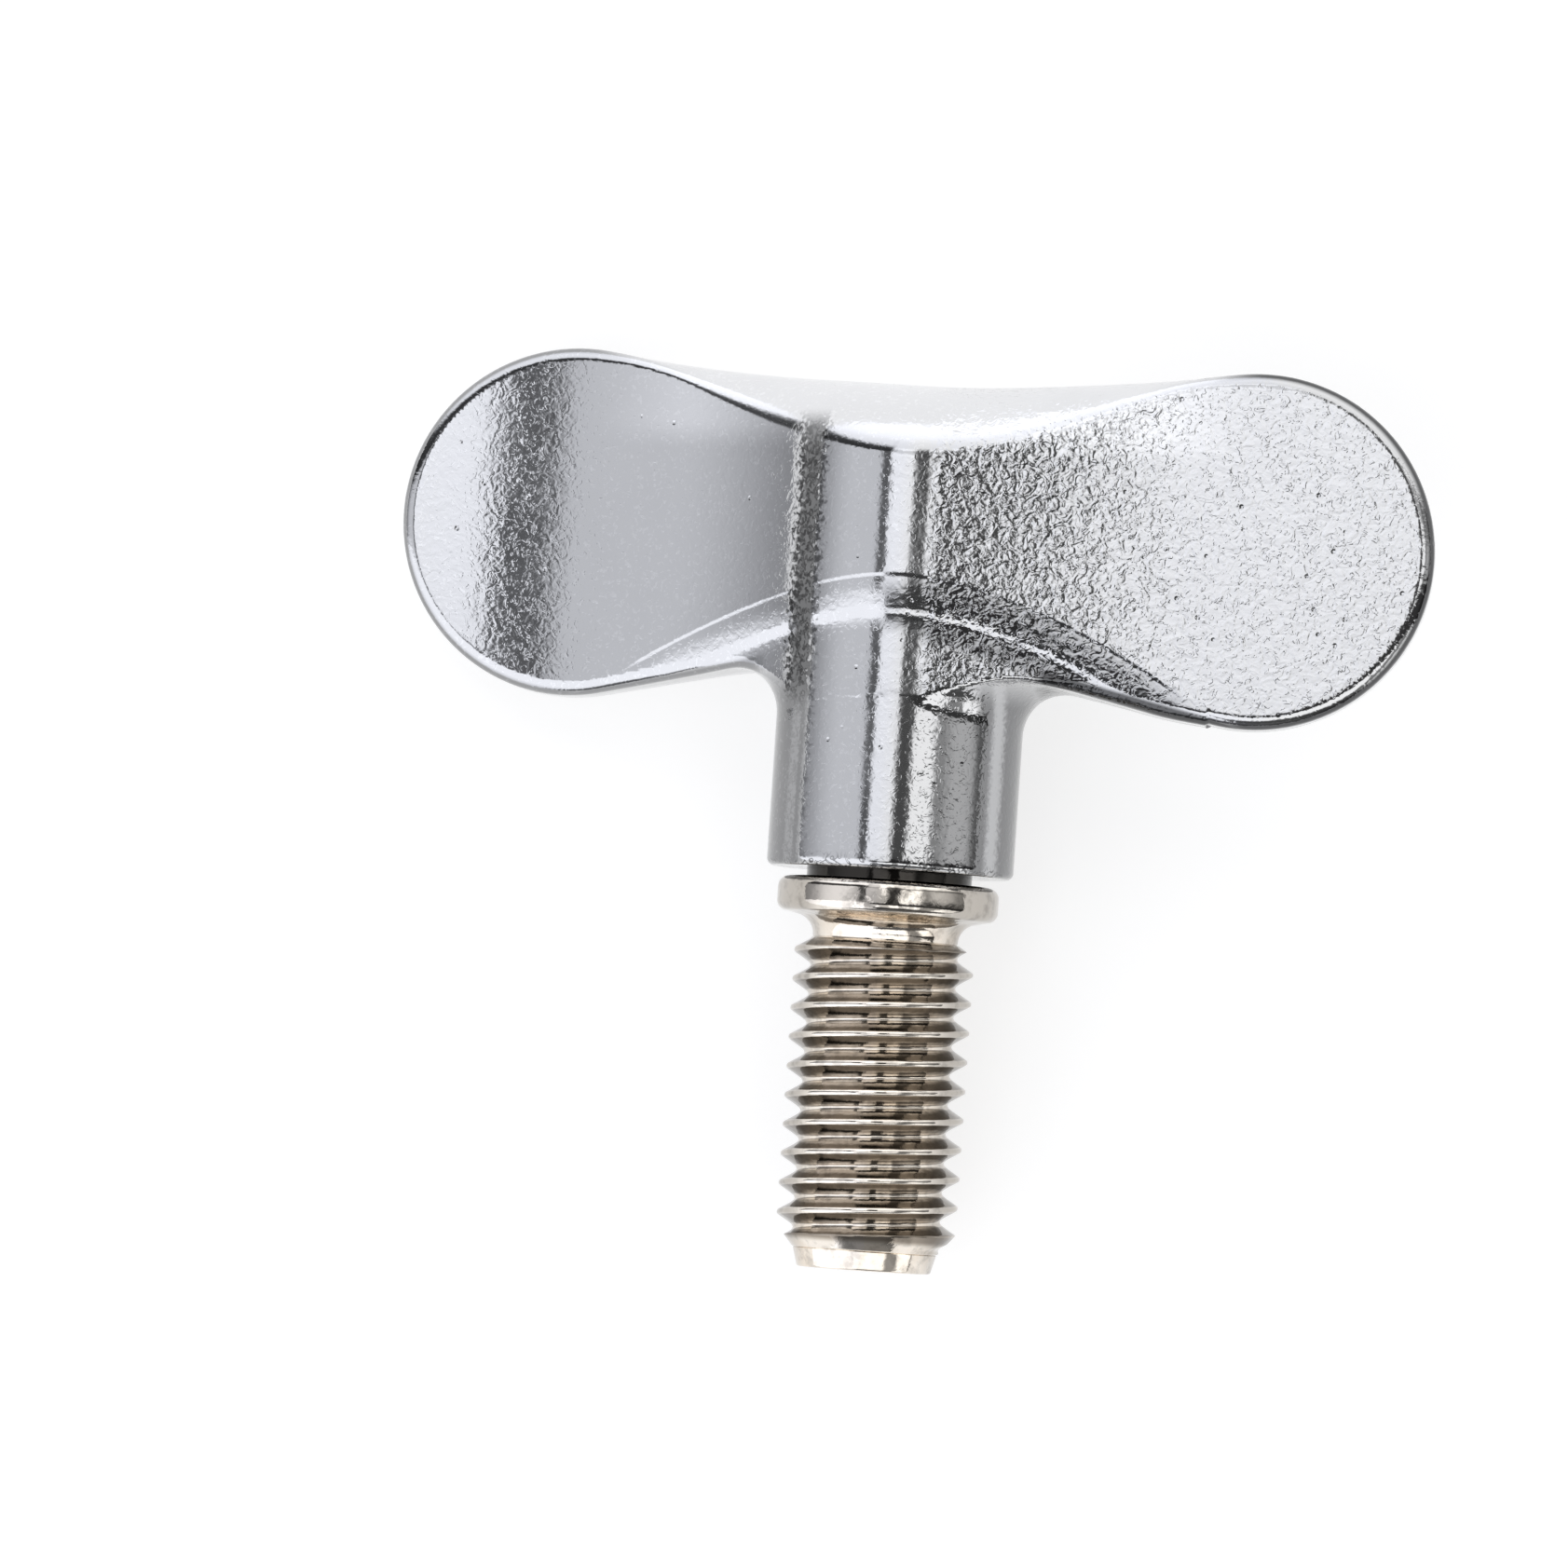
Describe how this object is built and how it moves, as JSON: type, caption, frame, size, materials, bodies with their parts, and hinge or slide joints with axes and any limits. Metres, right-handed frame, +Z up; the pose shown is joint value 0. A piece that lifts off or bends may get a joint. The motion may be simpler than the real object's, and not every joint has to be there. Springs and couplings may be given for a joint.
{
  "type": "wing screw",
  "caption": "Wing screw with a cast two-lobed thumb grip on a round hub and a short collared M8 stud.",
  "frame": {"origin": "on the screw axis, in the plane of the collar's seat", "axes": "+X along the wing span, +Y along the screw axis towards the top of the head, +Z up from the surface the screw lies on"},
  "size_m": [0.045, 0.039, 0.011],
  "materials": {
    "chrome_plating": "polished, with a slight orange peel",
    "nickel_plated_steel": "satin"
  },
  "bodies": {
    "root": {"wing_head": "chrome_plating", "threaded_stud": "nickel_plated_steel"}
  },
  "joints": []
}
